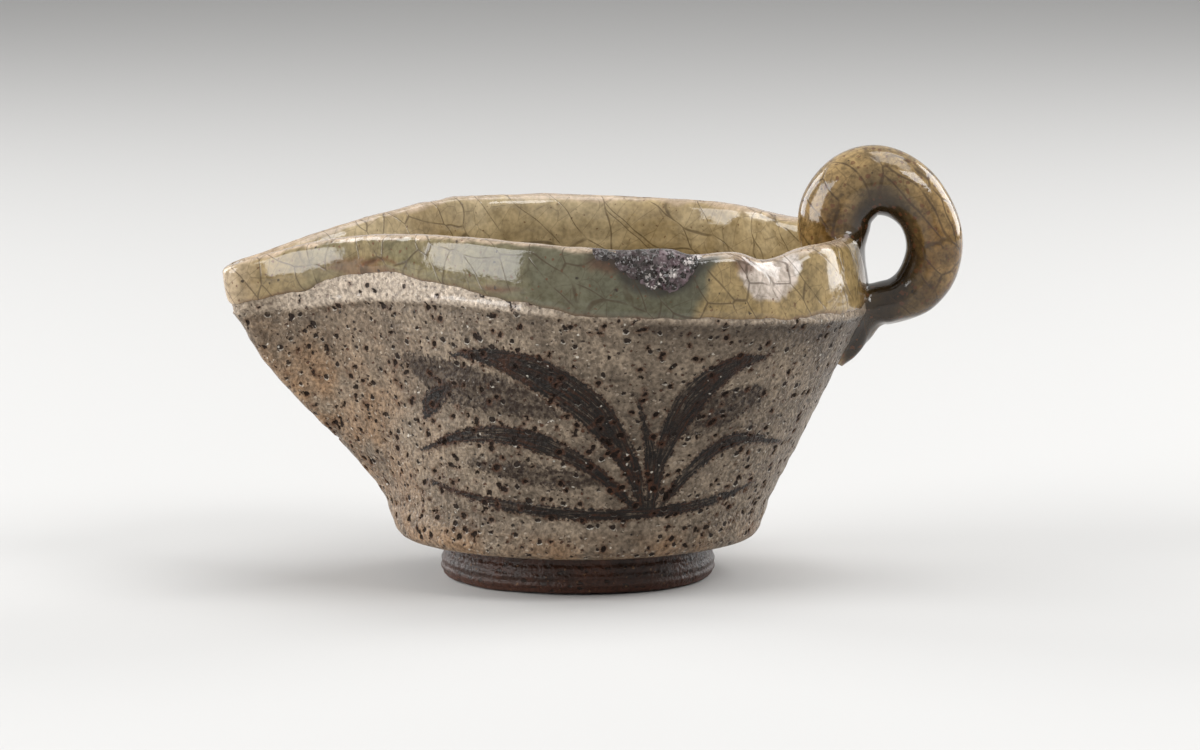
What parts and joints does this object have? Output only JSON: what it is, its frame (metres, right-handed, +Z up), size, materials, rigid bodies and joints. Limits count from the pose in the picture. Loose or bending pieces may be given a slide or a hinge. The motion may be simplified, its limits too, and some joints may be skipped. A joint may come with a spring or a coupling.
{
  "type": "lipped pouring bowl",
  "caption": "Small wheel-thrown stoneware pouring bowl with a turned foot, flaring pitted wall, crisp shoulder under a glazed collar, leaf-shaped mouth with a beak, and coiled ring handle.",
  "frame": {"origin": "on the surface the bowl stands on, under the middle of the object's box", "axes": "+Z up, +X towards the handle, -X towards the beak, -Y the decorated side"},
  "size_m": [0.1608, 0.111, 0.0952],
  "materials": {
    "speckled_clay": "semi-matt grey-beige stoneware with dark iron pits and specks",
    "foot_clay": "bare red-brown clay, slightly glossy above and dry on the sole",
    "amber_glaze": "glossy olive to amber ash glaze with fine crackle",
    "olive_glaze": "glossy olive ash glaze with sparse brown crackle",
    "lining_glaze": "glossy olive-green ash glaze with sparse brown crackle",
    "kiln_grit": "rough dark fused grit with whitish pits"
  },
  "bodies": {
    "root": {"bowl_body": "speckled_clay", "foot_ring": "foot_clay", "loop_handle": "amber_glaze", "collar_glaze": "olive_glaze", "lining_glaze": "lining_glaze", "kiln_crust": "kiln_grit"}
  },
  "joints": []
}
